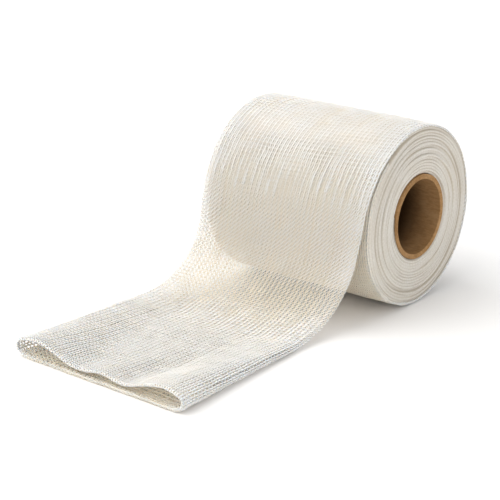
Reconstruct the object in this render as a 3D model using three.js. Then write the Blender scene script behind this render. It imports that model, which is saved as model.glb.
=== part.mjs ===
// A roll of tubular knitted cast stockinette on a cardboard core, with its loose end paid out in front.
// Millimetres, +Z up. The origin is on the floor under the middle of the roll, the roll's axis runs along X,
// and the loose end hangs down at -Y and lies along the floor to its open mouth.
import * as THREE from "three";

// Driving dimensions
const TUBE_WIDTH = 100; // the stockinette laid flat, four inches
const CORE_BORE_RADIUS = 19; // an inch and a half across
const CORE_WALL = 2.4;
const CORE_LENGTH = 99.4;
const GAP = 0.3; // between pieces that touch
const AXIS_HEIGHT = 45.7;
const UNDER_TURN_RADIUS = 45; // the wound cloth just under the start of the last turn
const LAST_TURN = 2.3; // thickness of the last, loose turn
const STEP_ANGLE = THREE.MathUtils.degToRad(50); // where the loose end leaves the last turn, above the front
const STEP_RAMP = THREE.MathUtils.degToRad(1);
const LAYER = 1; // one thickness of the knit
const MOUTH_Y = -172;

const CORE_OUTER_RADIUS = CORE_BORE_RADIUS + CORE_WALL;
const WINDING_BORE_RADIUS = CORE_OUTER_RADIUS + GAP;

const CORE_STEPS = 72;
const ROLL_STEPS = 90;
const MOUTH_STATIONS = 16;
const FOLD_POINTS = 5; // in each quarter of a side fold
const TOP_POINTS = 18;
const BASE_POINTS = 5;

const cardboard = new THREE.MeshStandardMaterial({ name: "cardboard", color: 0x9a7850, roughness: 0.85 });
const knit = new THREE.MeshStandardMaterial({ name: "knit", color: 0xe6e1d8, roughness: 0.95 });

// Relief of the wound roll's end faces, from the core to the rim: some turns stand out, some have slipped in.
// radius is in millimetres, out is how far the face stands from the middle of the roll, and sway is how far
// that place wanders as it goes round.
const FACE = [
  { radius: WINDING_BORE_RADIUS, out: 49.3, sway: 0 },
  { radius: 23.4, out: 49.9, sway: 0.1 },
  { radius: 30.5, out: 50.2, sway: 0.2 },
  { radius: 36.6, out: 50.0, sway: 0.2 },
  { radius: 38.2, out: 49.2, sway: 0.3 },
  { radius: 39.8, out: 49.9, sway: 0.2 },
  { radius: 42.6, out: 49.7, sway: 0.3 },
  { radius: 43.6, out: 48.7, sway: 0.3 },
  { radius: 44.6, out: 49.2, sway: 0.2 },
];
const RIM_OUT = 48.2; // where the round rim meets the outside of the roll
const RIM_ROUND = 0.5;

// The loose end, section by section. y and z follow its underside, left and right are its side folds,
// fold is the height of the side folds and middle its height between them.
const DROP = [
  { y: -47.5, z: 46.0, left: -50.0, right: 48.8, fold: 2.4, middle: 2.4 },
  { y: -48.4, z: 38.5, left: -50.4, right: 47.6, fold: 2.5, middle: 2.5 },
  { y: -49.5, z: 31.0, left: -51.2, right: 46.4, fold: 2.6, middle: 2.6 },
  { y: -51.5, z: 24.0, left: -52.3, right: 45.2, fold: 2.8, middle: 2.7 },
  { y: -54.7, z: 17.4, left: -53.7, right: 44.0, fold: 3.1, middle: 2.8 },
  { y: -59.3, z: 11.5, left: -55.1, right: 42.8, fold: 3.6, middle: 2.9 },
  { y: -65.5, z: 6.7, left: -56.3, right: 42.0, fold: 4.3, middle: 3.0 },
  { y: -73.0, z: 3.2, left: -57.2, right: 41.4, fold: 5.0, middle: 3.1 },
  { y: -81.2, z: 1.0, left: -57.8, right: 41.2, fold: 5.6, middle: 3.2 },
  { y: -89.5, z: 0.0, left: -58.1, right: 41.4, fold: 6.2, middle: 3.3 },
];
const LAID = [
  { y: -98, z: 0, left: -58.3, right: 41.6, fold: 6.7, middle: 3.4 },
  { y: -112, z: 0, left: -58.5, right: 42.0, fold: 7.4, middle: 3.5 },
  { y: -128, z: 0, left: -58.8, right: 42.5, fold: 8.2, middle: 3.7 },
  { y: -144, z: 0, left: -59.0, right: 43.2, fold: 9.2, middle: 4.1 },
  { y: -158, z: 0, left: -59.1, right: 43.9, fold: 10.6, middle: 4.9 },
  { y: MOUTH_Y, z: 0, left: -59.2, right: 44.6, fold: 12.0, middle: 6.0 },
];
const WRAP_ANGLES = [48.4, 39, 30, 20, 10]; // degrees above the front, where it still hugs the roll
const WRAP_CLEARANCE = [0.35, 0.35, 0.5, 0.9, 1.5];

// Shape of the mouth's side loops and of the soft bump between them
const LEFT_LOOP_REACH = 15;
const RIGHT_LOOP_REACH = 11;
const LEFT_SLOPE = 24;
const RIGHT_SLOPE = 17;
const RIGHT_LOOP_SHARE = 0.96;
const BUMP_X = -4;
const BUMP_REACH = 13;
const BUMP_HEIGHT = 1.5;

// Radius of the roll's outside at an angle unwound from the step, over the top and on round the back.
const rollRadius = (unwound) => UNDER_TURN_RADIUS + LAST_TURN * (1 - unwound / (2 * Math.PI));

// Joins a grid of rings into one closed body: each ring closes on itself, and the last ring meets the first.
function closedBody(rings) {
  const count = rings[0].length;
  const positions = rings.flat().flatMap((p) => [p.x, p.y, p.z]);
  const indices = [];
  for (let i = 0; i < rings.length; i++) {
    const here = i * count;
    const next = ((i + 1) % rings.length) * count;
    for (let j = 0; j < count; j++) {
      const k = (j + 1) % count;
      indices.push(here + j, next + j, next + k, here + j, next + k, here + k);
    }
  }
  const geometry = new THREE.BufferGeometry();
  geometry.setAttribute("position", new THREE.Float32BufferAttribute(positions, 3));
  geometry.setIndex(indices);
  geometry.computeVertexNormals();
  return geometry;
}

// The cardboard core: a plain tube with its end corners eased.
function core() {
  const half = CORE_LENGTH / 2;
  const ease = 0.4;
  const profile = [
    [CORE_BORE_RADIUS, -half + ease],
    [CORE_BORE_RADIUS + ease, -half],
    [CORE_OUTER_RADIUS - ease, -half],
    [CORE_OUTER_RADIUS, -half + ease],
    [CORE_OUTER_RADIUS, half - ease],
    [CORE_OUTER_RADIUS - ease, half],
    [CORE_BORE_RADIUS + ease, half],
    [CORE_BORE_RADIUS, half - ease],
    [CORE_BORE_RADIUS, -half + ease],
  ].map(([radius, along]) => new THREE.Vector2(radius, along));
  const mesh = new THREE.Mesh(new THREE.LatheGeometry(profile, CORE_STEPS), cardboard);
  mesh.name = "core";
  mesh.rotation.z = -Math.PI / 2;
  mesh.position.z = AXIS_HEIGHT;
  return mesh;
}

// One section of the wound cloth at an angle, as a ring of points from the bore out over both faces.
function windingSection(unwound) {
  const outside = rollRadius(unwound);
  const angle = Math.PI - STEP_ANGLE - unwound;
  const spread = (outside - WINDING_BORE_RADIUS) / (UNDER_TURN_RADIUS + LAST_TURN - WINDING_BORE_RADIUS);
  const face = FACE.map(({ radius, out, sway }, row) => ({
    radius: WINDING_BORE_RADIUS + (radius - WINDING_BORE_RADIUS) * spread,
    out: out + sway * Math.sin(2 * unwound + 1.7 * row) + 0.5 * sway * Math.sin(5 * unwound - row),
  }));
  const rim = [
    { radius: outside - RIM_ROUND, out: RIM_OUT + RIM_ROUND },
    { radius: outside, out: RIM_OUT },
  ];
  const right = [...face, ...rim];
  const left = right.map(({ radius, out }) => ({ radius, out: -out })).reverse();
  return [...right, ...left].map(({ radius, out }) => {
    const flattened = Math.max(0, AXIS_HEIGHT + radius * Math.sin(angle)); // the flat spot it stands on
    return new THREE.Vector3(out, radius * Math.cos(angle), flattened);
  });
}

function woundRoll() {
  const sections = [];
  for (let i = 0; i <= ROLL_STEPS; i++) {
    sections.push(windingSection(((2 * Math.PI - STEP_RAMP) * i) / ROLL_STEPS));
  }
  const mesh = new THREE.Mesh(closedBody(sections), knit);
  mesh.name = "wound_roll";
  return mesh;
}

// The sections' driving rows, from the step on the roll down to the mouth.
function looseEndRows() {
  const wrap = WRAP_ANGLES.map((degrees, i) => {
    const angle = THREE.MathUtils.degToRad(degrees);
    const base = rollRadius(2 * Math.PI - (STEP_ANGLE - angle)) + WRAP_CLEARANCE[i];
    return {
      y: -base * Math.cos(angle),
      z: AXIS_HEIGHT + base * Math.sin(angle),
      left: -TUBE_WIDTH / 2,
      right: TUBE_WIDTH / 2 - 0.2 * i,
      fold: LAST_TURN,
      middle: LAST_TURN,
    };
  });
  return [...wrap, ...DROP, ...LAID];
}

const ease = (t) => 0.5 + 0.5 * Math.cos(Math.PI * THREE.MathUtils.clamp(t, 0, 1)); // 1 at 0, 0 at 1

// Height of the top layer over the underside at x, for one row.
function topHeight(row, x, leftCentre, rightCentre, open) {
  const rise = row.fold - row.middle;
  const left = rise * ease((x - leftCentre) / LEFT_SLOPE);
  const dip = row.fold * open * (1 - RIGHT_LOOP_SHARE);
  const right = (rise - dip) * ease((rightCentre - x) / RIGHT_SLOPE);
  const bump = BUMP_HEIGHT * open * open * ease(Math.abs(x - BUMP_X) / BUMP_REACH);
  return row.middle + left + right + bump;
}

// One section across the flattened tube, as [x, height] pairs: outside first, then the inside one layer in.
function tubeSection(row, open) {
  const half = row.fold / 2;
  const rightHalf = half * (1 - open + open * RIGHT_LOOP_SHARE);
  const leftReach = THREE.MathUtils.lerp(half, LEFT_LOOP_REACH, open * open);
  const rightReach = THREE.MathUtils.lerp(half, RIGHT_LOOP_REACH, open * open);
  const leftCentre = row.left + leftReach;
  const rightCentre = row.right - rightReach;
  const shell = (inset) => {
    const points = [];
    const quarter = (centre, reach, height, from, to, squareness) => {
      for (let i = 0; i < FOLD_POINTS; i++) {
        const a = THREE.MathUtils.degToRad(from + ((to - from) * i) / FOLD_POINTS);
        const power = 2 / squareness;
        const c = Math.sign(Math.cos(a)) * Math.abs(Math.cos(a)) ** power;
        const s = Math.sign(Math.sin(a)) * Math.abs(Math.sin(a)) ** power;
        points.push([centre + (reach - inset) * c, height + (height - inset) * s]);
      }
    };
    const lower = 2 + open;
    for (let i = 0; i < BASE_POINTS; i++) {
      points.push([THREE.MathUtils.lerp(leftCentre, rightCentre, i / BASE_POINTS), inset]);
    }
    quarter(rightCentre, rightReach, rightHalf, -90, 0, lower);
    quarter(rightCentre, rightReach, rightHalf, 0, 90, 2);
    for (let i = 0; i < TOP_POINTS; i++) {
      const x = THREE.MathUtils.lerp(rightCentre, leftCentre, i / TOP_POINTS);
      points.push([x, topHeight(row, x, leftCentre, rightCentre, open) - inset]);
    }
    quarter(leftCentre, leftReach, half, 90, 180, 2);
    quarter(leftCentre, leftReach, half, 180, 270, lower);
    return points;
  };
  return { outside: shell(0), inside: shell(LAYER) };
}

// How far the tube has opened, 0 where it hangs and 1 at the mouth.
const openness = (y) => {
  const t = THREE.MathUtils.clamp((-y - 84) / (-MOUTH_Y - 84), 0, 1);
  return t * t * (3 - 2 * t);
};

// Smooth value of one column between the rows, along the sections' chord lengths.
function looseEnd() {
  const rows = looseEndRows();
  const columns = ["y", "z", "left", "right", "fold", "middle"];
  const underside = rows.map(({ y, z }) => new THREE.Vector3(0, y, z));
  const path = new THREE.CatmullRomCurve3(underside, false, "centripetal");
  const drop = WRAP_ANGLES.length + DROP.length - 1;
  const stations = [];
  for (let i = 0; i <= 2 * drop; i++) {
    stations.push(i / 2);
  }
  const laid = rows.length - 1 - drop;
  for (let i = 1; i <= MOUTH_STATIONS; i++) {
    stations.push(drop + (laid * i) / MOUTH_STATIONS);
  }
  const outsides = [];
  const insides = [];
  for (const station of stations) {
    const share = station / (rows.length - 1);
    const place = path.getPoint(share);
    const way = path.getTangent(share);
    const before = rows[Math.floor(station)];
    const after = rows[Math.min(rows.length - 1, Math.floor(station) + 1)];
    const mix = station - Math.floor(station);
    const row = Object.fromEntries(columns.map((c) => [c, THREE.MathUtils.lerp(before[c], after[c], mix)]));
    const onFloor = station >= drop;
    const up = onFloor ? new THREE.Vector3(0, 0, 1) : new THREE.Vector3(0, way.z, -way.y).normalize();
    const base = onFloor ? new THREE.Vector3(0, place.y, 0) : place;
    const { outside, inside } = tubeSection(row, openness(place.y));
    const lift = ([x, height]) =>
      new THREE.Vector3(x, base.y + up.y * height, Math.max(0, base.z + up.z * height));
    outsides.push(outside.map(lift));
    insides.push(inside.map(lift));
  }
  const mesh = new THREE.Mesh(closedBody([...insides, ...outsides.reverse()]), knit);
  mesh.name = "loose_end";
  return mesh;
}

const stockinette = new THREE.Group();
stockinette.add(core(), woundRoll(), looseEnd());

export default stockinette;
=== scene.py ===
"""A roll of tubular knitted cast stockinette on a cardboard core, its loose end paid out to an open mouth."""

import math

import bmesh
import bpy
import numpy as np
from mathutils import Matrix, Vector


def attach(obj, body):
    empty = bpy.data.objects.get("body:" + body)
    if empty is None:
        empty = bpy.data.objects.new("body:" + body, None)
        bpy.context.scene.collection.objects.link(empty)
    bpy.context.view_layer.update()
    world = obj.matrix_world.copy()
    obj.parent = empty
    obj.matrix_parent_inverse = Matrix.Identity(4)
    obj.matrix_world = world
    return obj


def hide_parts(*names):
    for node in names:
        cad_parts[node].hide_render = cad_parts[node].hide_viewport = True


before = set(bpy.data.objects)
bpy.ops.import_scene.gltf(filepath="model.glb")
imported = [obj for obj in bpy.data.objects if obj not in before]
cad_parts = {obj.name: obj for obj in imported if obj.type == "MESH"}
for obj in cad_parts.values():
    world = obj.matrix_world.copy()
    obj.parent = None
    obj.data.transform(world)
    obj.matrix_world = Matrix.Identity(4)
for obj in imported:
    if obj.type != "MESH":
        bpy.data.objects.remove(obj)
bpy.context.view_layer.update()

# Sizes in millimetres: the forms are the solids', with a longer slope and a lower fold at the right
MM = 0.001
TUBE_WIDTH = 100.0
CORE_BORE_RADIUS = 19.0
CORE_WALL = 2.4
CORE_LENGTH = 99.4
GAP = 0.3
AXIS_HEIGHT = 45.7
UNDER_TURN_RADIUS = 45.0
LAST_TURN = 2.3
STEP_ANGLE = math.radians(50)
MOUTH_Y = -172.0
CORE_OUTER_RADIUS = CORE_BORE_RADIUS + CORE_WALL
WINDING_BORE_RADIUS = CORE_OUTER_RADIUS + GAP

# The loose end, section by section, from the roll down to the floor and along it to the mouth: y and z
# of its underside, x of its left and right folds, the height of its folds and the height between them.
LOOSE_END = (
    (-47.5, 46.0, -50.0, 48.8, 2.4, 2.4),
    (-48.4, 38.5, -50.4, 47.6, 2.5, 2.5),
    (-49.5, 31.0, -51.2, 46.4, 2.6, 2.6),
    (-51.5, 24.0, -52.3, 45.2, 2.8, 2.7),
    (-54.7, 17.4, -53.7, 44.0, 3.1, 2.8),
    (-59.3, 11.5, -55.1, 42.8, 3.6, 2.9),
    (-65.5, 6.7, -56.3, 42.0, 4.3, 3.0),
    (-73.0, 3.2, -57.2, 41.4, 5.0, 3.1),
    (-81.2, 1.0, -57.8, 41.2, 5.6, 3.2),
    (-89.5, 0.0, -58.1, 41.4, 6.2, 3.3),
    (-98.0, 0.0, -58.3, 41.6, 6.7, 3.4),
    (-112.0, 0.0, -58.5, 42.0, 7.4, 3.5),
    (-128.0, 0.0, -58.8, 42.5, 8.2, 3.7),
    (-144.0, 0.0, -59.0, 43.2, 9.2, 4.1),
    (-158.0, 0.0, -59.1, 43.9, 10.6, 4.9),
    (MOUTH_Y, 0.0, -59.2, 44.6, 12.0, 6.0),
)
FLOOR_ROW = 9  # the first of these rows that lies on the floor
TURN_STEP = 8  # degrees between the sections of the last turn
WRAP_ANGLES = (48.4, 39, 30, 20, 10)  # degrees above the front, where the loose end still hugs the roll
WRAP_CLEARANCE = (0.35, 0.35, 0.5, 0.9, 1.5)  # how far it stands off the turn under it
WRAP_NARROWING = 0.2  # how much narrower each of those sections is than the one before

# How the tube's section changes as it opens
OPENS_FROM_Y = -84.0
LEFT_LOOP_REACH = 15.0
RIGHT_LOOP_REACH = 11.0
LEFT_SLOPE = 24.0
RIGHT_SLOPE = 27.0
RIGHT_LOOP_SHARE = 0.96  # the right loop's height at the mouth, as a share of the left one's
RIGHT_FOLD_SHARE = 0.80  # and the right fold's, where the tube hangs flat
QUARTER_POINTS = 24  # in each quarter of a side fold
SPAN_POINTS = 160  # from fold to fold
BUMP_X = -4.0
BUMP_REACH = 13.0
BUMP_HEIGHT = 1.5

# Relief of the wound end faces: radius, how far out it stands, how far it wanders as it goes round
FACE_RELIEF = (
    (WINDING_BORE_RADIUS, 49.3, 0.0),
    (23.4, 49.9, 0.1),
    (30.5, 50.2, 0.2),
    (36.6, 50.0, 0.2),
    (38.2, 49.2, 0.3),
    (39.8, 49.9, 0.2),
    (42.6, 49.7, 0.3),
    (43.6, 48.7, 0.3),
    (44.6, 49.2, 0.2),
)

# The knit
WALES_ROUND = 80  # ribs of stitches round the whole tube
COURSE = 2.3  # one row of stitches along the tube
YARN = 0.70  # thickness
LOOP_DEPTH = 0.22  # how far the loops stand before and behind the cloth's middle
# The loops, by how many millimetres they lie on from the last turn's end. Each row gives the yarn's share
# of YARN in the upper layer and in the one under it, half a loop's height in courses, how far in wales a
# loop's sides are drawn in to its wale, how far the loop slants, how far its sides lean in at its foot, how
# far one of its sides stands out and the other in, how far every second rib stands out, how much painted
# shade each layer's yarn takes on covered and shadowed cloth, where 1 or more is the most, and how much of
# its painted shade the yarn takes where it lies low.
LOOPS_COLUMNS = (
    "along",
    "thickness",
    "under",
    "height",
    "narrowing",
    "skew",
    "lean",
    "twist",
    "proud",
    "painted_shade",
    "under_painted_shade",
    "shade",
)
LOOPS = (
    (-283, 1.06, 1.06, 0.70, 0.030, 0.00, 0.08, 0.00, 0.00, 2.50, 2.50, 0.8),
    (-205, 1.04, 1.04, 0.70, 0.030, 0.00, 0.08, 0.00, 0.00, 2.50, 2.50, 0.8),
    (-170, 0.94, 1.00, 0.69, 0.040, 0.02, 0.06, 0.00, 0.00, 0.16, 0.16, 1.1),
    (-110, 0.89, 1.00, 0.68, 0.040, 0.03, 0.07, 0.00, 0.00, 0.10, 0.10, 1.2),
    (-26, 0.89, 1.00, 0.67, 0.035, 0.05, 0.08, 0.02, 0.00, 0.12, 0.25, 1.1),
    (-6, 0.93, 1.00, 0.67, 0.030, 0.08, 0.09, 0.04, 0.00, 0.22, 0.55, 0.9),
    (8, 0.92, 1.00, 0.66, 0.025, 0.10, 0.10, 0.06, 0.00, 0.34, 0.75, 0.9),
    (13, 0.89, 0.98, 0.65, 0.025, 0.12, 0.10, 0.07, 0.09, 0.38, 0.80, 1.1),
    (21, 0.86, 0.94, 0.64, 0.020, 0.15, 0.11, 0.09, 0.11, 0.40, 0.85, 1.2),
    (26, 0.83, 0.90, 0.64, 0.010, 0.22, 0.09, 0.13, 0.02, 0.40, 0.90, 1.3),
    (34, 0.80, 0.84, 0.64, 0.000, 0.30, 0.06, 0.18, 0.00, 0.38, 0.90, 1.3),
    (58, 0.74, 0.76, 0.64, 0.000, 0.34, 0.04, 0.22, 0.00, 0.42, 0.80, 1.4),
    (64, 0.66, 0.68, 0.64, 0.000, 0.32, 0.05, 0.21, 0.00, 0.50, 0.80, 1.6),
    (70, 0.47, 0.47, 0.64, 0.000, 0.30, 0.05, 0.20, 0.00, 0.80, 1.00, 2.2),
    (81, 0.48, 0.48, 0.64, 0.000, 0.28, 0.06, 0.19, 0.00, 0.60, 1.00, 2.0),
    (92, 0.70, 0.74, 0.64, 0.010, 0.25, 0.07, 0.16, 0.00, 0.28, 0.70, 1.3),
    (106, 0.92, 0.98, 0.64, 0.020, 0.15, 0.10, 0.10, 0.00, 0.24, 0.50, 0.9),
    (120, 1.10, 1.14, 0.64, 0.040, 0.03, 0.15, 0.02, 0.00, 0.24, 0.50, 0.7),
    (170, 1.17, 1.22, 0.64, 0.040, 0.00, 0.16, 0.00, 0.00, 0.24, 0.60, 0.7),
    (180, 1.18, 1.36, 0.64, 0.040, 0.00, 0.14, 0.00, 0.00, 0.24, 0.70, 0.9),
    (190, 1.20, 1.46, 0.64, 0.035, 0.00, 0.14, 0.00, 0.00, 0.24, 0.70, 0.9),
)
EDGE_CURL = 0.6  # radius of the curl into which the cut edge of the mouth rolls
EDGE_TURN = math.radians(280)
EDGE_COURSES = 5
EDGE_PACKED = 0.6  # how close the courses of that edge lie, as a share of COURSE
COURSE_BOW = (2.9, 2.0)  # how far the courses bow and slope as they go round the tube
BOW_FADE = 25.0  # over this length the bow dies away towards the mouth
STITCH_TURNS = (0, 50, 95, 140, 180, 220, 265, 310)  # degrees round a stitch at which its yarn has a point
STRAY_ALONG = 0.13  # how far chance moves the yarn along the cloth
STRAY_ACROSS = 0.05  # across it, in wales
STRAY_OUT = 0.07  # out of it
STRAY_RIB = 0.08  # and how far a whole rib moves out
STRAY_YARN = 0.10  # how much the yarn's thickness changes, as a share
TWIST_SWELL = 1.2  # how much thicker the side of a loop is that stands out by its twist
PROUD_USUAL = 0.6  # how much of its full height a proud stitch has
PROUD_STRAY = 0.6  # how much that changes
PROUD_MOST = 1.4
PROUD_SWELL = 0.5  # how much thicker the yarn of a proud rib is
PROUD_LIGHT_AND_SHADE = 4  # how much of the painted shade a proud rib's yarn sheds, a painted highlight, and a sunken one's gains
UNDER_FROM = 3  # wales in from the fold at which the cloth is all under layer
FOLD_PAINTED_SHADE = 0.25  # share of the painted shade of covered cloth that the yarn at the fold takes
FOLD_SHADE = 0.4  # share of the painted shade from lying low that it takes where it has none of the other painted shade
FOLD_WALES = 6  # wales in from the fold at which it takes all of that painted shade
TURN_FIRST_WALE = -4  # the last turn's outer layer goes round both rims
TURN_WALES = 48
MIDDLE_OF_LAYER = 0.62  # the middle of a layer of knit, in from its outside

# The winding under the last turn
WOUND_TURNS = 16
TURN = (UNDER_TURN_RADIUS - WINDING_BORE_RADIUS) / WOUND_TURNS
UNDER_LAYER = 0.95  # thickness of the last turn's own under layer, which is packed against them
STEPS_ROUND = 384
STEP_PART = 40  # the step in the outside takes one part in this many of a revolution
BORE_CLEARANCE = 0.15
FLOOR_CLEARANCE = 0.4
FOLD_PHASES = (0, 0.1, 0.3, 0.5, 0.7, 0.9)  # how far across a fold its points lie
FACE_SET_BACK = 0.55  # how far the faces' valleys lie behind the relief
VALLEY_SLIP = 0.3  # how far a valley goes with its fold, as a share, when the fold has slipped
FOLD_HEIGHT = 1.1
STITCH_HEIGHT = 0.09
# Chance values along the spiral: how many to a revolution, the lowest, the highest, how often smoothed
SLIPPED = (12, -1.3, 1.3, 1)  # how far a fold has slipped out
FULL = (3, 0.25, 0.6, 0)  # how full it is
CRISP = (9, 0.1, 1.0, 0)  # how dark the valley beside it is
STITCHED = (20, 0, 1.6, 0)  # how clearly its stitches stand out
# Shade on the faces
VALLEY_SHADE = 0.3  # what every valley takes beside its own chance part
FALLEN_FROM = 50.0  # a ring that stands out less than this takes shade
FALLEN_DEPTH = 1.3  # and this far behind it takes the most
FALLEN_SHADE = 0.5
RIM_WIDTH = 0.9  # the shade fades over this width towards the rim
RIM_SHADE = 0.15  # to this share
OUTSIDE_HALF = 47.5  # half the length of the plain outside
OUTSIDE_ROWS = 7
BORE_ROWS = (-30.0, 0.0, 30.0)
DOUBLES_WITHIN = 0.002

# The camera, at the photograph's angle
VIEW_FROM = Vector((0.433305, -0.609426, 0.283712))
VIEW_AZIMUTH = math.radians(38.8621)
VIEW_ELEVATION = math.radians(19.6532)
VIEW_LENS = 109.985
VIEW_SENSOR = 36
VIEW_CLIP = (0.01, 50)


def place_camera():
    """Looks down at the roll from its front right."""
    lens = bpy.data.cameras.new("view")
    lens.lens = VIEW_LENS
    lens.sensor_width = VIEW_SENSOR
    lens.clip_start, lens.clip_end = VIEW_CLIP
    camera = bpy.data.objects.new("view", lens)
    bpy.context.scene.collection.objects.link(camera)
    level, slope = math.cos(VIEW_ELEVATION), math.sin(VIEW_ELEVATION)
    back = Vector((math.sin(VIEW_AZIMUTH) * level, -math.cos(VIEW_AZIMUTH) * level, slope))
    right = Vector((math.cos(VIEW_AZIMUTH), math.sin(VIEW_AZIMUTH), 0))
    up = back.cross(right)
    camera.matrix_world = Matrix.Translation(VIEW_FROM) @ Matrix((right, up, back)).transposed().to_4x4()
    bpy.context.scene.camera = camera


# Shader maths
class Value:
    """A number that changes over a surface: sums on it add the nodes that work them out."""

    def __init__(self, finish, out):
        self.finish, self.out = finish, out

    def _maths(self, operation, *others):
        sockets = dict(enumerate(others))
        return self.finish.node("ShaderNodeMath", {"operation": operation}, sockets)[0]

    def __add__(self, other):
        return self._maths("ADD", self, other)

    def __radd__(self, other):
        return self._maths("ADD", other, self)

    def __sub__(self, other):
        return self._maths("SUBTRACT", self, other)

    def __rsub__(self, other):
        return self._maths("SUBTRACT", other, self)

    def __mul__(self, other):
        return self._maths("MULTIPLY", self, other)

    def __rmul__(self, other):
        return self._maths("MULTIPLY", other, self)

    def clamped(self):
        """Nothing below 0 or above 1."""
        return self._maths("MAXIMUM", self._maths("MINIMUM", self, 1.0), 0.0)

    def above(self, low, high):
        """0 below low, 1 above high and a smooth rise between."""
        settings = {"interpolation_type": "SMOOTHSTEP"}
        sockets = {"Value": self, "From Min": low, "From Max": high}
        return self.finish.node("ShaderNodeMapRange", settings, sockets)[0]


class Finish:
    """A material and the nodes that make it."""

    def __init__(self, name, **constants):
        self.material = bpy.data.materials.new(name)
        self.material.use_nodes = True
        self.tree = self.material.node_tree
        self.surface = self.tree.nodes["Principled BSDF"]
        for socket, value in constants.items():
            self.surface.inputs[socket.replace("_", " ").title()].default_value = value

    def node(self, kind, settings, sockets):
        """Adds a node with its settings, fills its sockets and gives its outputs back."""
        made = self.tree.nodes.new(kind)
        for name, value in settings.items():
            setattr(made, name, value)
        for name, value in sockets.items():
            if isinstance(value, Value):
                self.tree.links.new(value.out, made.inputs[name])
            else:
                made.inputs[name].default_value = value
        return [Value(self, out) for out in made.outputs]

    def places(self, scale=(1, 1, 1), turn=(0, 0, 0), move=(0, 0, 0)):
        """Object coordinates in metres, moved, turned and scaled."""
        whole = self.node("ShaderNodeTexCoord", {}, {})[3]
        sockets = {"Vector": whole, "Scale": scale, "Rotation": turn, "Location": move}
        return self.node("ShaderNodeMapping", {}, sockets)[0]

    def noise(self, size, detail=2.0, roughness=0.5, places=None):
        """Cloudy noise whose clouds are about size metres across."""
        sockets = {"Scale": 1 / size, "Detail": detail, "Roughness": roughness}
        sockets["Vector"] = places or self.places()
        return self.node("ShaderNodeTexNoise", {}, sockets)[0]

    def blend(self, share, first, second):
        """Mixes two colours: first at 0, second at 1."""
        first, second = (colour if isinstance(colour, Value) else (*colour, 1) for colour in (first, second))
        return self.node("ShaderNodeMix", {"data_type": "RGBA"}, {0: share, 6: first, 7: second})[2]

    def bump(self, height, distance, strength=1.0):
        """Raises the surface by height times distance, in metres."""
        sockets = {"Height": height, "Distance": distance, "Strength": strength}
        self.paint("Normal", self.node("ShaderNodeBump", {}, sockets)[0])

    def paint(self, socket, value):
        """Gives one of the surface's sockets a value that changes over it."""
        self.tree.links.new(value.out, self.surface.inputs[socket])


# Colours, red, green and blue as the shader reads them
YARN_COLOUR = (0.955, 0.94, 0.912)
YARN_CREAM = (0.95, 0.925, 0.88)
# painted shade of the yarn where it lies low in the cloth
YARN_SHADE = (0.88, 0.77, 0.61)
# painted shade of the yarn on covered and shadowed cloth
YARN_DEEP_SHADE = (0.80, 0.705, 0.565)
# the outside of the turns under the last one: the yarn coloured darker, painted shade of covered cloth
BACKING_COLOUR = (0.83, 0.765, 0.67)
# the packed turns coloured darker than the same yarn, a painted shade; PACKED_CREAM is a random second tone
PACKED_COLOUR = (0.74, 0.71, 0.655)
PACKED_CREAM = (0.715, 0.675, 0.605)
# painted shade in the valleys between the packed folds, also the colour of random darker flecks
VALLEY_SHADE_AND_FLECKS = (0.46, 0.385, 0.28)
KRAFT = (0.46, 0.27, 0.12)
KRAFT_LIGHT = (0.58, 0.38, 0.20)
KRAFT_DARK = (0.30, 0.165, 0.068)
# painted shade deep inside the bore, nearly black
KRAFT_BORE_SHADE = (0.042, 0.019, 0.006)
FLOOR_WHITE = (0.93, 0.93, 0.93)
FLOOR_FAINT = (0.91, 0.91, 0.91)

# Metres from the middle of the core to where its painted shade inside ends, and to where plain board begins
INSIDE_TO = 0.026
PLAIN_FROM = 0.044


def yarn_finish():
    """Undyed soft cotton yarn: warm white, in places creamier, with fine loose fibres, and painted shade
    where it lies low in the cloth and on covered and shadowed cloth.
    """
    finish = Finish("undyed_yarn", roughness=0.92, sheen_weight=0.25, sheen_roughness=0.6)
    finish.surface.inputs["Subsurface Weight"].default_value = 0.9
    finish.surface.inputs["Subsurface Radius"].default_value = (1.0, 0.85, 0.7)
    finish.surface.inputs["Subsurface Scale"].default_value = 0.0008
    cloudy = finish.noise(0.018, 3)
    flecks = finish.noise(0.0007, 2)
    sunk = finish.node("ShaderNodeAttribute", {"attribute_name": "sunk"}, {})[2]
    painted_shade = finish.node("ShaderNodeAttribute", {"attribute_name": "painted_shade"}, {})[2]
    warm = finish.blend(cloudy.above(0.35, 0.7), YARN_COLOUR, YARN_CREAM)
    # painted shade: on covered and shadowed cloth the yarn is coloured a darker, warmer beige
    warm = finish.blend(painted_shade.clamped(), warm, YARN_DEEP_SHADE)
    # painted shade on the yarn that lies below the cloth's face, with random darker flecks mixed in
    shade_and_flecks = (sunk.above(0.25, 0.9) * 0.85 + flecks.above(0.5, 0.75) * 0.25).clamped()
    finish.paint("Base Color", finish.blend(shade_and_flecks, warm, YARN_SHADE))
    fibres = finish.noise(0.00018, 3, 0.6)
    finish.bump(fibres, 0.00012, 0.8)
    finish.paint("Roughness", 0.86 + flecks * 0.14)
    return finish.material


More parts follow.
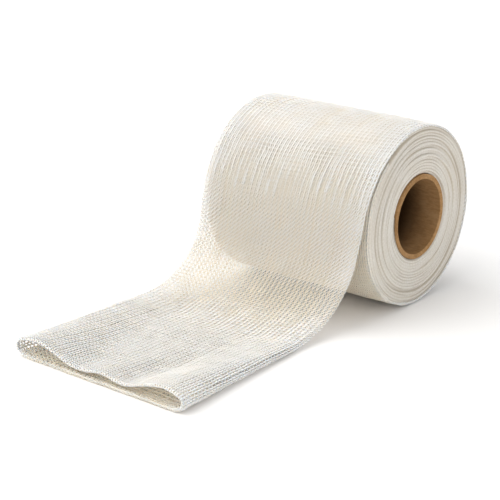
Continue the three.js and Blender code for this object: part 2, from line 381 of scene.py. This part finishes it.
def wound_cloth_finish():
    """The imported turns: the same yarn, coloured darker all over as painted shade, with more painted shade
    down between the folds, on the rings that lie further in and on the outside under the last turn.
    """
    finish = Finish("packed_knit", roughness=0.95, sheen_weight=0.2, sheen_roughness=0.6)
    painted_face_shade = finish.node("ShaderNodeAttribute", {"attribute_name": "painted_face_shade"}, {})[2]
    stitch = finish.node("ShaderNodeAttribute", {"attribute_name": "stitch"}, {})[2]
    cloudy = finish.noise(0.012, 3)
    tone = finish.blend(cloudy.above(0.3, 0.7), PACKED_COLOUR, PACKED_CREAM)
    # painted shade in the valleys between the folds, on rings that lie further in and on the side at the bore
    dark = finish.blend(painted_face_shade.above(0.1, 0.95) * 0.6, tone, VALLEY_SHADE_AND_FLECKS)
    flecks = finish.noise(0.0006, 2)
    # the stitches faintly darker between them, a painted shade, and random darker flecks
    stitch_shade_and_flecks = (stitch.above(0.2, 0.8) * 0.08 + flecks.above(0.45, 0.8) * 0.3).clamped()
    backing = finish.node("ShaderNodeAttribute", {"attribute_name": "backing"}, {})[2]
    ends = finish.blend(stitch_shade_and_flecks, dark, VALLEY_SHADE_AND_FLECKS)
    # the outside under the last turn takes the backing colour, painted shade of covered cloth
    finish.paint("Base Color", finish.blend(backing.clamped(), ends, BACKING_COLOUR))
    finish.bump(finish.noise(0.0004, 3, 0.6) + stitch * -0.3, 0.00022, 0.9)
    finish.paint("Roughness", 0.88 + flecks * 0.12)
    return finish.material


def cardboard_finish():
    """Plain kraft board: brown, with darker and lighter fibres and the faint seam of its winding, and painted
    shade, nearly black, deep inside its bore.
    """
    finish = Finish("kraft_board", roughness=0.8)
    finish.surface.inputs["Specular IOR Level"].default_value = 0.12
    fibres = finish.noise(0.0012, 4, 0.65, finish.places(scale=(0.35, 1, 1)))
    blotches = finish.noise(0.009, 3)
    tone = finish.blend(fibres.above(0.3, 0.7), KRAFT_DARK, KRAFT)
    tone = finish.blend(blotches.above(0.45, 0.75) * 0.35, tone, KRAFT_LIGHT)
    layers = finish.node("ShaderNodeAttribute", {"attribute_name": "ply"}, {})[2]
    tone = finish.blend(layers * 0.35, tone, KRAFT_DARK)
    along = finish.node("ShaderNodeSeparateXYZ", {}, {"Vector": finish.places()})[0]
    # painted shade: nearly black along the middle of the bore, fading out towards the core's ends
    bore_shade = 1 - (along * along).above(INSIDE_TO**2, PLAIN_FROM**2)
    finish.paint("Base Color", finish.blend(bore_shade, tone, KRAFT_BORE_SHADE))
    finish.bump(fibres + blotches * 0.5, 0.00015, 0.7)
    finish.paint("Roughness", 0.72 + fibres * 0.2)
    return finish.material


def floor_finish():
    """A plain matt white, with the faintest clouding."""
    finish = Finish("studio_floor", roughness=0.9)
    finish.surface.inputs["Specular IOR Level"].default_value = 0.0
    faint = finish.noise(0.4, 2)
    finish.paint("Base Color", finish.blend(faint * 0.2, FLOOR_WHITE, FLOOR_FAINT))
    return finish.material


# The path of the cloth's last turn and loose end
def eased(t):
    """1 at 0, falling smoothly to 0 at 1."""
    return 0.5 + 0.5 * np.cos(np.pi * np.clip(t, 0, 1))


def curve_through(points, steps):
    """A smooth curve through points, steps places to a stretch, and where each place lies in the points."""
    points = np.asarray(points, float)
    before, after = 2 * points[0] - points[1], 2 * points[-1] - points[-2]
    padded = np.vstack((before, points, after))
    places, stations = [], []
    for i in range(len(points) - 1):
        p0, p1, p2, p3 = padded[i : i + 4]
        d0, d1, d2 = (math.sqrt(np.linalg.norm(b - a)) for a, b in ((p0, p1), (p1, p2), (p2, p3)))
        t1 = ((p1 - p0) / d0 - (p2 - p0) / (d0 + d1) + (p2 - p1) / d1) * d1
        t2 = ((p2 - p1) / d1 - (p3 - p1) / (d1 + d2) + (p3 - p2) / d2) * d1
        last = i == len(points) - 2
        t = np.linspace(0, 1, steps + (1 if last else 0), endpoint=last)[:, None]
        square, cube = -3 * p1 + 3 * p2 - 2 * t1 - t2, 2 * p1 - 2 * p2 + t1 + t2
        places.append(p1 + t1 * t + square * t**2 + cube * t**3)
        stations.append(i + t[:, 0])
    return np.vstack(places), np.concatenate(stations)


def cloth_rows():
    """The last turn from its hidden inner end to the step, then the loose end: one row for each section."""
    rows = []
    for degrees in range(360, 0, -TURN_STEP):
        unwound = math.radians(degrees)
        radius = UNDER_TURN_RADIUS - LAST_TURN * unwound / (2 * math.pi)
        angle = STEP_ANGLE + unwound
        place = (-radius * math.cos(angle), AXIS_HEIGHT + radius * math.sin(angle))
        rows.append((*place, -TUBE_WIDTH / 2, TUBE_WIDTH / 2, LAST_TURN, LAST_TURN))
    for i, degrees in enumerate(WRAP_ANGLES):
        angle = math.radians(degrees)
        radius = UNDER_TURN_RADIUS + (STEP_ANGLE - angle) * LAST_TURN / (2 * math.pi) + WRAP_CLEARANCE[i]
        place = (-radius * math.cos(angle), AXIS_HEIGHT + radius * math.sin(angle))
        rows.append((*place, -TUBE_WIDTH / 2, TUBE_WIDTH / 2 - WRAP_NARROWING * i, LAST_TURN, LAST_TURN))
    return np.array(rows + list(LOOSE_END), float)


def opened(y):
    """How far the tube has opened: 0 where it hangs and 1 at its mouth."""
    t = np.clip((y - OPENS_FROM_Y) / (MOUTH_Y - OPENS_FROM_Y), 0, 1)
    return t * t * (3 - 2 * t)


def tube_section(left, right, fold, middle, open_share, inset):
    """The flattened tube's section as points (x, height): from the left fold over the top and back under."""
    half = fold / 2
    share = RIGHT_FOLD_SHARE + (RIGHT_LOOP_SHARE - RIGHT_FOLD_SHARE) * open_share
    left_reach = half + (LEFT_LOOP_REACH - half) * open_share**2
    right_reach = half + (RIGHT_LOOP_REACH - half) * open_share**2
    left_centre, right_centre = left + left_reach, right - right_reach

    def quarter(centre, reach, height, start, end, squareness):
        """A quarter of a side fold, from one angle to another."""
        a = np.radians(np.linspace(start, end, QUARTER_POINTS, endpoint=False))
        power = 2 / squareness
        c = np.sign(np.cos(a)) * np.abs(np.cos(a)) ** power
        s = np.sign(np.sin(a)) * np.abs(np.sin(a)) ** power
        return np.stack((centre + (reach - inset) * c, height + (height - inset) * s), 1)

    x = np.linspace(left_centre, right_centre, SPAN_POINTS, endpoint=False)
    rise = fold - middle
    top = middle + rise * eased((x - left_centre) / LEFT_SLOPE)
    top += (rise - fold * (1 - share)) * eased((right_centre - x) / RIGHT_SLOPE)
    top += BUMP_HEIGHT * open_share**2 * eased(np.abs(x - BUMP_X) / BUMP_REACH)
    under = np.linspace(right_centre, left_centre, SPAN_POINTS, endpoint=False)
    lower = 2 + open_share  # how square the corners on the floor are, 2 being round
    return np.vstack(
        (
            quarter(left_centre, left_reach, half, 180, 90, 2),
            np.stack((x, top - inset), 1),
            quarter(right_centre, right_reach, half * share, 90, 0, 2),
            quarter(right_centre, right_reach, half * share, 0, -90, lower),
            np.stack((under, np.full_like(under, inset)), 1),
            quarter(left_centre, left_reach, half, 270, 180, lower),
        )
    )


class Cloth:
    """The cloth's middle surface as a grid: lengthwise along the path, and round the flattened tube."""

    ROUND = 400
    STEP = 0.5  # millimetres along the path
    CURVE_STEPS = 24  # from one row to the next
    WIDTH_EASE = 12  # steps to each side over which the widths are smoothed
    FLOOR_EASE = 6  # millimetres before the floor in which the cloth levels out

    def __init__(self):
        rows = cloth_rows()
        fine, stations = curve_through(rows[:, :2], self.CURVE_STEPS)
        along = np.concatenate(([0], np.cumsum(np.linalg.norm(np.diff(fine, axis=0), axis=1))))
        self.length = along[-1]
        # Where the loose end leaves the last turn
        self.turn_ends = np.interp(360 // TURN_STEP, stations, along)
        self.curl_from = self.length - EDGE_CURL - LOOP_DEPTH - YARN / 2
        self.knit_length = self.curl_from + EDGE_CURL * EDGE_TURN
        # The last few courses are packed closer, into the rolled edge.
        self.packed_from = int((self.knit_length - EDGE_COURSES * EDGE_PACKED * COURSE) // COURSE)
        self.packed = (self.knit_length / COURSE - self.packed_from) / EDGE_COURSES
        s = np.arange(0, self.length, self.STEP)
        path = np.stack([np.interp(s, along, fine[:, i]) for i in (0, 1)], 1)
        station = np.interp(s, along, stations)
        widths = [np.interp(station, np.arange(len(rows)), rows[:, i]) for i in (2, 3, 4, 5)]
        kernel = np.hanning(2 * self.WIDTH_EASE + 1)
        kernel /= kernel.sum()
        widths = [np.convolve(np.pad(w, self.WIDTH_EASE, mode="edge"), kernel, "valid") for w in widths]
        way = np.gradient(path, axis=0)
        way /= np.linalg.norm(way, axis=1)[:, None]
        up = np.stack((way[:, 1], -way[:, 0]), 1)
        floor_from = np.interp(len(rows) - len(LOOSE_END) + FLOOR_ROW, stations, along)
        laid = np.clip((s - floor_from + self.FLOOR_EASE) / self.FLOOR_EASE, 0, 1)[:, None]
        up = up * (1 - laid) + np.array((0, 1.0)) * laid
        up /= np.linalg.norm(up, axis=1)[:, None]
        path[:, 1] = np.maximum(path[:, 1], 0) * (1 - laid[:, 0])
        grid = np.empty((len(s), self.ROUND + 1, 3))
        self.girth = np.empty(len(s))
        for i, (left, right, fold, middle) in enumerate(zip(*widths)):
            section = tube_section(left, right, fold, middle, opened(path[i, 0]), MIDDLE_OF_LAYER)
            section = np.vstack((section, section[:1]))
            gone = np.concatenate(([0], np.cumsum(np.linalg.norm(np.diff(section, axis=0), axis=1))))
            self.girth[i] = gone[-1]
            even = np.linspace(0, gone[-1], self.ROUND + 1)
            x, height = (np.interp(even, gone, section[:, k]) for k in (0, 1))
            grid[i, :, 0] = x
            grid[i, :, 1:] = path[i] + up[i] * height[:, None]
        self.grid = grid
        across = np.roll(grid[:, :-1], -1, axis=1) - np.roll(grid[:, :-1], 1, axis=1)
        across = np.concatenate((across, across[:, :1]), 1)
        normal = np.cross(np.gradient(grid, axis=0), across)
        self.normal = normal / np.linalg.norm(normal, axis=2)[:, :, None]

    def course_at(self, course):
        """How far along the path a course lies, in millimetres."""
        return COURSE * (min(course, self.packed_from) + max(course - self.packed_from, 0) * self.packed)

    def at(self, s, wale, out):
        """Places on the cloth: s millimetres along, wale ribs round from the left fold, out from its middle.

        Each comes with the direction that points out of the cloth there.
        """
        i = np.clip(np.minimum(s, self.curl_from) / self.STEP, 0, len(self.grid) - 1.001)
        j = (wale / WALES_ROUND % 1) * self.ROUND
        i0, j0 = i.astype(int), j.astype(int)
        fi, fj = (i - i0)[..., None], (j - j0)[..., None]

        def read(table):
            """The table's value between its four nearest entries."""
            low = table[i0, j0] * (1 - fj) + table[i0, j0 + 1] * fj
            high = table[i0 + 1, j0] * (1 - fj) + table[i0 + 1, j0 + 1] * fj
            return low * (1 - fi) + high * fi

        normal = read(self.normal)
        normal /= np.linalg.norm(normal, axis=-1)[..., None]
        turned = (np.maximum(s - self.curl_from, 0) / EDGE_CURL)[..., None]
        onward = np.array((0.0, -1.0, 0.0))
        middle = read(self.grid) + EDGE_CURL * (onward * np.sin(turned) - normal * (1 - np.cos(turned)))
        outward = normal * np.cos(turned) + onward * np.sin(turned)
        return middle + outward * out[..., None], outward


# The knit's chance values
def soft_noise(seed, courses, wales, smooth=1):
    """A table of smooth chance values about 0, one for each stitch, that closes on itself round the tube."""
    table = np.random.default_rng(seed).normal(size=(courses + 2, wales))
    for _ in range(smooth):
        table = (np.roll(table, 1, 1) + 2 * table + np.roll(table, -1, 1)) / 4
        table[1:-1] = (table[:-2] + 2 * table[1:-1] + table[2:]) / 4
    return table / table.std()


def sampled(table, course, wale):
    """Reads a table between its entries."""
    i = np.clip(course, 0, table.shape[0] - 1.001)
    j = wale % table.shape[1]
    i0, j0 = i.astype(int), j.astype(int) % table.shape[1]
    j1 = (j0 + 1) % table.shape[1]
    fi, fj = i - i0, j % 1
    low = table[i0, j0] * (1 - fj) + table[i0, j1] * fj
    high = table[i0 + 1, j0] * (1 - fj) + table[i0 + 1, j1] * fj
    return low * (1 - fi) + high * fi


ALL_COURSES = 400
UNEVEN_ALONG = soft_noise(11, ALL_COURSES, WALES_ROUND, 2)
UNEVEN_ACROSS = soft_noise(12, ALL_COURSES, WALES_ROUND, 2)
UNEVEN_OUT = soft_noise(13, ALL_COURSES, WALES_ROUND, 1)
UNEVEN_YARN = soft_noise(14, ALL_COURSES, WALES_ROUND, 0)
PROUD_RIBS = soft_noise(15, 4, WALES_ROUND, 0)[0]


# Making pieces
def only(piece):
    """Selects one object and nothing else."""
    bpy.ops.object.select_all(action="DESELECT")
    piece.select_set(True)
    bpy.context.view_layer.objects.active = piece


def dressed(piece, material, slot, *nodes):
    """Gives a finished piece its material and its place on the object."""
    piece.data.materials.clear()
    piece.data.materials.append(material)
    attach(piece, "root")
    if nodes:
        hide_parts(*nodes)
    return piece


def loops_at(along):
    """The table of loops, read between its rows: a value for each of its columns."""
    table = np.array(LOOPS)
    return {name: np.interp(along, table[:, 0], table[:, i]) for i, name in enumerate(LOOPS_COLUMNS)}


def knit(name, cloth, first_course, courses, first_wale, wales, material, nodes=()):
    """Knits a stretch of the cloth: each course is one yarn that swings up and down its wales."""
    round_the_tube = wales == WALES_ROUND
    t = (np.radians(STITCH_TURNS)[None, :] + 2 * math.pi * np.arange(wales)[:, None]).ravel()
    ribs = np.append(PROUD_RIBS, PROUD_RIBS[0])
    yarns = bpy.data.curves.new(name, "CURVE")
    yarns.dimensions = "3D"
    yarns.bevel_depth = YARN / 2 * MM
    yarns.bevel_resolution = 0
    yarns.use_fill_caps = False
    yarns.twist_mode = "MINIMUM"
    centres, outwards, heights, painted_shades, shades = [], [], [], [], []
    for course in range(first_course, first_course + courses):
        here = cloth.course_at(course + 0.5)
        packed = (cloth.course_at(course + 1) - cloth.course_at(course)) / COURSE
        loop = loops_at(here - cloth.turn_ends)
        swing, twist = loop["height"] * COURSE * np.cos(t), loop["twist"]
        wale = first_wale + t / (2 * math.pi) + loop["lean"] * np.sin(2 * t)
        wale = wale - loop["narrowing"] * np.sin(t) - loop["skew"] * np.cos(t)
        from_fold = np.abs((wale + WALES_ROUND / 4) % (WALES_ROUND / 2) - WALES_ROUND / 4)
        under = np.clip(from_fold / UNDER_FROM, 0, 1) * (wale % WALES_ROUND > WALES_ROUND / 2)
        off_fold = FOLD_PAINTED_SHADE + (1 - FOLD_PAINTED_SHADE) * np.clip(from_fold / FOLD_WALES, 0, 1)
        where = np.full_like(t, course)
        left_over = np.clip((cloth.knit_length - here) / BOW_FADE, 0, 1)
        round_turn = 2 * math.pi * wale / WALES_ROUND
        bow = (COURSE_BOW[0] * np.sin(round_turn) + COURSE_BOW[1] * np.cos(round_turn)) * left_over
        stray = sampled(UNEVEN_ALONG, where + swing / COURSE, wale)
        along = here + bow + packed * (swing + STRAY_ALONG * stray)
        across = wale + STRAY_ACROSS * sampled(UNEVEN_ACROSS, where + swing / COURSE, wale)
        uneven_out = sampled(UNEVEN_OUT, where, wale)
        out = -LOOP_DEPTH * np.cos(2 * t) + twist * np.sin(t) + STRAY_OUT * uneven_out
        out += STRAY_RIB * np.interp(wale % WALES_ROUND, np.arange(WALES_ROUND + 1), ribs)
        second = np.cos(math.pi * np.floor(t / (2 * math.pi) + 0.5))
        proud = loop["proud"] * second * np.clip(PROUD_USUAL + PROUD_STRAY * uneven_out, 0, PROUD_MOST)
        out += proud
        thickness = loop["thickness"] * (1 - under) + loop["under"] * under
        thickness = thickness * (1 + STRAY_YARN * sampled(UNEVEN_YARN, where, wale)) + PROUD_SWELL * proud
        thickness = thickness * (1 + TWIST_SWELL * twist * np.sin(t))
        places, outward = cloth.at(along, across, out)
        places[:, 2] = np.maximum(places[:, 2], YARN / 2 * thickness)
        spline = yarns.splines.new("POLY")
        spline.points.add(len(t) - 1)
        spline.points.foreach_set("co", np.column_stack((places * MM, np.ones(len(t)))).ravel())
        spline.points.foreach_set("radius", thickness)
        spline.use_cyclic_u = round_the_tube
        spline.use_smooth = True
        centres.append(places)
        outwards.append(outward)
        heights.append(out)
        # painted shade on covered and shadowed cloth, less of it near the folds
        painted_shade = loop["painted_shade"] * (1 - under) + loop["under_painted_shade"] * under
        # a proud rib takes less of that painted shade, a painted highlight, and a sunken rib more
        painted_shades.append(off_fold * painted_shade * (1 - np.clip(PROUD_LIGHT_AND_SHADE * proud, -1, 1)))
        shades.append(loop["shade"] * (FOLD_SHADE + (1 - FOLD_SHADE) * off_fold))
    piece = bpy.data.objects.new(name, yarns)
    bpy.context.scene.collection.objects.link(piece)
    only(piece)
    bpy.ops.object.convert(target="MESH")
    piece = bpy.context.view_layer.objects.active
    gathered = (centres, outwards, heights, painted_shades, shades)
    mark_yarn(piece.data, *(np.concatenate(values) for values in gathered))
    if not round_the_tube:  # closes the yarns' cut ends
        bpy.ops.object.mode_set(mode="EDIT")
        bpy.ops.mesh.select_all(action="SELECT")
        bpy.ops.mesh.fill_holes(sides=4)
        bpy.ops.object.mode_set(mode="OBJECT")
    piece.name = piece.data.name = name
    dressed(piece, material, "knit", *nodes)
    return piece


def mark_yarn(mesh, centres, outwards, heights, painted_shades, shades):
    """Marks how much painted shade each point takes from lying below the cloth's face,
    and how much it takes on covered and shadowed cloth.
    """
    points = np.empty(len(mesh.vertices) * 3)
    mesh.vertices.foreach_get("co", points)
    points = points.reshape(len(centres), -1, 3) / MM
    height = heights[:, None] + ((points - centres[:, None]) * outwards[:, None]).sum(2)
    face = LOOP_DEPTH + YARN / 2
    below = np.clip((face - height) / (2 * face), 0, 1) * shades[:, None]
    painted_shade = np.repeat(painted_shades, points.shape[1])
    for mark, values in (("sunk", below.ravel()), ("painted_shade", painted_shade)):
        mesh.attributes.new(mark, "FLOAT", "POINT").data.foreach_set("value", values.astype(np.float32))


def knit_everything(cloth, material):
    """The last turn's outer layer in two stretches, and the loose end's whole tube in three."""
    turn_courses = int(cloth.turn_ends // COURSE)
    all_courses = cloth.packed_from + EDGE_COURSES
    half = turn_courses // 2
    knit("knit_turn_under", cloth, 0, half, TURN_FIRST_WALE, TURN_WALES, material)
    knit("knit_turn_over", cloth, half, turn_courses - half, TURN_FIRST_WALE, TURN_WALES, material)
    loose = all_courses - turn_courses
    bands = ("knit_hanging", "knit_bend", "knit_laid")
    starts = [turn_courses + round(loose * i / 3) for i in range(4)]
    for i, name in enumerate(bands):
        knit(name, cloth, starts[i], starts[i + 1] - starts[i], 0, WALES_ROUND, material, ("loose_end",))


# The wound turns under the last one
def face_out(radius, angle):
    """How far the end faces stand out: the relief's rows, with waves that differ from ring to ring."""
    rows = np.array(FACE_RELIEF)
    out = np.interp(radius, rows[:, 0], rows[:, 1])
    sway = np.interp(radius, rows[:, 0], rows[:, 2])
    row = np.interp(radius, rows[:, 0], np.arange(len(rows)))
    return out + sway * np.sin(2 * angle + 1.7 * row) + 0.5 * sway * np.sin(5 * angle - row)


def wound_turns(material):
    """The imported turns: a spiral of soft folded edges on both faces, and the cloth round the outside."""
    phases = np.array(FOLD_PHASES)
    per_turn = len(phases)
    rows = (WOUND_TURNS + 2) * per_turn + 1
    share = np.arange(STEPS_ROUND)[:, None] / STEPS_ROUND  # of a revolution, unwound from the outside in
    unwound = share * 2 * math.pi
    inner = WINDING_BORE_RADIUS + BORE_CLEARANCE
    outer = UNDER_TURN_RADIUS - LAST_TURN * share + UNDER_LAYER * (1 - eased(share * STEP_PART))
    spiral = np.arange(rows) // per_turn + phases[np.arange(rows) % per_turn]
    free = WINDING_BORE_RADIUS + TURN * (spiral[None, :] - share)
    radius = np.clip(free, inner, outer)
    turns = spiral[None, :] + (radius - free) / TURN
    count = np.floor(turns + 1e-4)
    fold = np.sqrt(np.clip(1 - (2 * (turns - count) - 1) ** 2, 0, 1))
    length = count + 0.5 - share  # in turns from the bore
    gone = 2 * math.pi * length * (WINDING_BORE_RADIUS + TURN * length / 2)
    stitches = 0.5 + 0.5 * np.cos(2 * math.pi * gone / COURSE)
    chance = np.random.default_rng(5)

    def uneven(per_revolution, low, high, smooth):
        """Chance values that run on along the spiral, so many to each turn."""
        values = chance.uniform(low, high, per_revolution * (WOUND_TURNS + 3))
        for _ in range(smooth):
            values = (np.roll(values, 1) + values + np.roll(values, -1)) / 3
        return np.interp(length * per_revolution, np.arange(len(values)), values)

    def face():
        """How far out one of the faces stands, and how much shade it takes."""
        slipped = uneven(*SLIPPED)
        full = uneven(*FULL)
        crisp = uneven(*CRISP)
        relief = face_out(radius, unwound)
        out = relief - FACE_SET_BACK + slipped * (VALLEY_SLIP + (1 - VALLEY_SLIP) * fold)
        out = out + full * fold * FOLD_HEIGHT
        out += STITCH_HEIGHT * stitches * fold * uneven(*STITCHED)
        # painted shade: in the valleys beside the folds and on rings that lie further in, less towards the
        # rim
        fallen = np.clip((FALLEN_FROM - relief) / FALLEN_DEPTH, 0, 1)
        off_rim = np.clip((outer - radius) / RIM_WIDTH, RIM_SHADE, 1)
        return out, np.clip((1 - fold) * (VALLEY_SHADE + crisp) + FALLEN_SHADE * fallen, 0, 1) * off_rim

    right_out, right_face_shade = face()
    left_out, left_face_shade = face()
    ones = np.ones((STEPS_ROUND, 1))
    across = np.linspace(1, -1, OUTSIDE_ROWS + 2)[None, 1:-1] * OUTSIDE_HALF * ones
    along_bore = np.array(BORE_ROWS)[None, :] * ones
    strips = (  # radius, place along the axis, painted shade, stitch, backing
        (radius, right_out, right_face_shade, stitches, 0 * radius),
        (outer + 0 * across, across, 0.4 + 0 * across, 0.5 + 0 * across, 1 + 0 * across),
        (radius[:, ::-1], -left_out[:, ::-1], left_face_shade[:, ::-1], stitches[:, ::-1], 0 * radius),
        (inner + 0 * along_bore, along_bore, 1 + 0 * along_bore, 0.5 + 0 * along_bore, 0 * along_bore),
    )
    radius, out, face_shade, stitch, backing = (np.concatenate(columns, 1) for columns in zip(*strips))
    angle = math.pi - STEP_ANGLE - unwound
    height = np.maximum(AXIS_HEIGHT + radius * np.sin(angle), FLOOR_CLEARANCE)
    places = np.stack((out, radius * np.cos(angle), height), -1)

    # Once round, a row of the faces has moved in by one turn: it meets the row that began a turn further in.
    ring = places.shape[1]
    row = np.arange(ring)
    meets = row.copy()
    meets[:rows] = np.maximum(row[:rows] - per_turn, 0)
    first_left = rows + across.shape[1]
    meets[first_left : first_left + rows] = np.minimum(row[:rows] + per_turn, rows - 1) + first_left
    index = np.arange(STEPS_ROUND * ring).reshape(STEPS_ROUND, ring)
    ahead = np.vstack((index[1:], index[:1, meets]))
    faces = np.stack((index, ahead, np.roll(ahead, -1, 1), np.roll(index, -1, 1)), -1).reshape(-1, 4)
    mesh = bpy.data.meshes.new("wound_turns")
    mesh.from_pydata((places.reshape(-1, 3) * MM).tolist(), [], faces.tolist())
    for name, values in (("painted_face_shade", face_shade), ("stitch", stitch), ("backing", backing)):
        mark = mesh.attributes.new(name, "FLOAT", "POINT")
        mark.data.foreach_set("value", values.ravel().astype(np.float32))
    piece = bpy.data.objects.new("wound_turns", mesh)
    bpy.context.scene.collection.objects.link(piece)
    only(piece)
    bpy.ops.object.mode_set(mode="EDIT")
    bpy.ops.mesh.select_all(action="SELECT")
    bpy.ops.mesh.remove_doubles(threshold=DOUBLES_WITHIN * MM)
    bpy.ops.mesh.normals_make_consistent(inside=False)
    bpy.ops.object.mode_set(mode="OBJECT")
    bpy.ops.object.shade_smooth()
    dressed(piece, material, "knit", "wound_roll")
    return piece


# The cardboard core
CORE_STEPS = 128
PLIES = 5
JOINT_DEPTH = 0.12  # how far the joint between two plies lies behind their edges
JOINT_OUT = 0.06  # how far outside the next ply the joint's bottom lies
FLAT_OUT = 0.08  # how far outside a ply's middle its flat edge ends
MARKED_WITHIN = 0.03  # a point this near to the depth of a joint is marked
SMOOTH_UNDER = math.radians(35)


def cardboard_core(material):
    """A short board tube whose eased lips show the edges of its plies."""
    bpy.ops.object.select_all(action="DESELECT")
    bpy.ops.mesh.primitive_circle_add(
        vertices=CORE_STEPS,
        radius=CORE_OUTER_RADIUS * MM,
        fill_type="NOTHING",
        location=(-CORE_LENGTH / 2 * MM, 0, AXIS_HEIGHT * MM),
        rotation=(0, math.pi / 2, 0),
    )
    piece = bpy.context.object
    piece.name = piece.data.name = "cardboard_core"
    bpy.ops.object.transform_apply(location=True, rotation=True, scale=True)
    bpy.ops.object.mode_set(mode="EDIT")
    bpy.ops.mesh.select_all(action="SELECT")
    centre = (0, 0, AXIS_HEIGHT * MM)

    def extruded(move=(0, 0, 0), radius_from=1.0, radius_to=1.0):
        """Carries the selected ring on to its next place and radius."""
        bpy.ops.mesh.extrude_region_move(TRANSFORM_OT_translate={"value": move})
        if radius_from != radius_to:
            grow = radius_to / radius_from
            bpy.ops.transform.resize(value=(1, grow, grow), center_override=centre)

    radius = CORE_OUTER_RADIUS
    extruded(move=(CORE_LENGTH * MM, 0, 0))
    for i in range(PLIES):
        narrower = radius - CORE_WALL / PLIES
        middle = (radius + narrower) / 2 + FLAT_OUT
        extruded(radius_from=radius, radius_to=middle)
        extruded(move=(-JOINT_DEPTH * MM, 0, 0), radius_from=middle, radius_to=narrower + JOINT_OUT)
        if i < PLIES - 1:
            extruded(move=(JOINT_DEPTH * MM, 0, 0), radius_from=narrower + JOINT_OUT, radius_to=narrower)
        radius = narrower
    inner_length = CORE_LENGTH - 2 * JOINT_DEPTH
    extruded(move=(-inner_length * MM, 0, 0), radius_from=radius + JOINT_OUT, radius_to=radius)
    bpy.ops.mesh.select_all(action="SELECT")
    bpy.ops.mesh.normals_make_consistent(inside=False)
    bpy.ops.object.mode_set(mode="OBJECT")
    body = bmesh.new()
    body.from_mesh(piece.data)
    rims = [e for e in body.edges if e.is_boundary]
    bmesh.ops.bridge_loops(body, edges=rims)
    bmesh.ops.recalc_face_normals(body, faces=body.faces)
    body.to_mesh(piece.data)
    body.free()
    ply = piece.data.attributes.new("ply", "FLOAT", "POINT")
    sunk_ends = (CORE_LENGTH / 2 - JOINT_DEPTH) * MM
    sunk = [abs(abs(v.co.x) - sunk_ends) < MARKED_WITHIN * MM for v in piece.data.vertices]
    ply.data.foreach_set("value", [float(s) for s in sunk])
    bpy.ops.object.shade_smooth_by_angle(angle=SMOOTH_UNDER)
    return dressed(piece, material, "cardboard", "core")


# The studio
FLOOR_SIZE = 8  # metres
SKY_STRENGTH = 0.68
LAMPS = (  # name, strength, spread in degrees, colour, direction it comes from
    ("soft_key", 1.5, 62, (1, 0.99, 0.98), (-0.45, -0.3, 1.0)),
    ("warm_fill", 1.1, 70, (1, 0.95, 0.88), (-0.5, -1.0, 0.5)),
    ("side_fill", 0.3, 40, (1, 0.97, 0.93), (1.0, -0.5, 0.55)),
)


def studio():
    """A plain white floor under soft light from above, from the front left and a little from the right."""
    bpy.ops.object.select_all(action="DESELECT")
    bpy.ops.mesh.primitive_plane_add(size=FLOOR_SIZE, location=(0, 0, 0))
    floor = bpy.context.object
    floor.name = "floor"
    floor.data.materials.append(floor_finish())
    world = bpy.data.worlds.new("studio")
    bpy.context.scene.world = world
    world.use_nodes = True
    sky = world.node_tree.nodes["Background"]
    sky.inputs["Color"].default_value = (1, 1, 1, 1)
    sky.inputs["Strength"].default_value = SKY_STRENGTH
    for name, strength, spread, colour, towards in LAMPS:
        sun = bpy.data.lights.new(name, "SUN")
        sun.energy = strength
        sun.angle = math.radians(spread)
        sun.color = colour
        lamp = bpy.data.objects.new(name, sun)
        lamp.rotation_euler = Vector(towards).to_track_quat("Z", "Y").to_euler()
        bpy.context.scene.collection.objects.link(lamp)
    bpy.context.scene.view_settings.view_transform = "Standard"


place_camera()
studio()
cloth = Cloth()
wound_turns(wound_cloth_finish())
knit_everything(cloth, yarn_finish())
cardboard_core(cardboard_finish())
